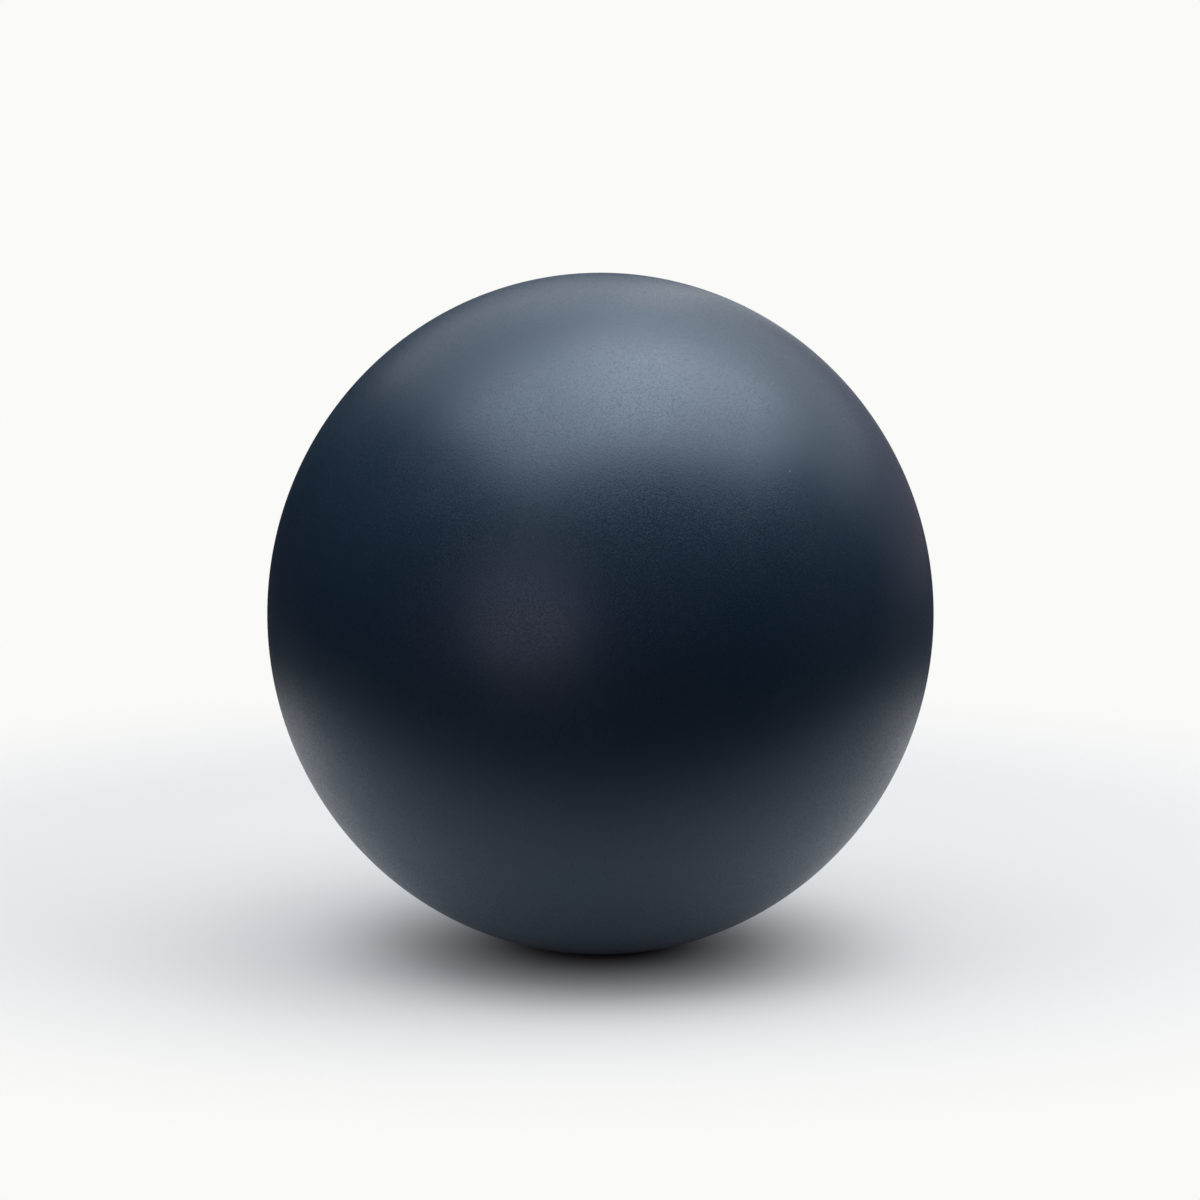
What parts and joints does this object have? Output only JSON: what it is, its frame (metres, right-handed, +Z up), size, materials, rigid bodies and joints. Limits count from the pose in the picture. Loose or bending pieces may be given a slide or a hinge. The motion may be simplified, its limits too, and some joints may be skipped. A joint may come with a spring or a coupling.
{
  "type": "pilates ball",
  "caption": "Small soft inflatable exercise ball: a hollow satin vinyl skin, a little taller than wide, with a grommet valve seat and a push-in plug at the back.",
  "frame": {"origin": "centre of the flat patch that the ball rests on", "axes": "+Z up, +Y from the ball's middle towards its valve, +X to the right as seen from the side away from the valve"},
  "size_m": [0.23, 0.2297, 0.2345],
  "materials": {
    "skin_vinyl": "satin",
    "seat_vinyl": "satin",
    "plug_plastic": "satin"
  },
  "bodies": {
    "ball": {"ball_skin": "skin_vinyl", "valve_seat": "seat_vinyl"},
    "plug": {"valve_plug": "plug_plastic"}
  },
  "joints": [
    {"name": "plug_pull", "type": "slide", "parent": "ball", "child": "plug", "axis": [0, 1, 0], "range_m": [0, 0.03]}
  ]
}
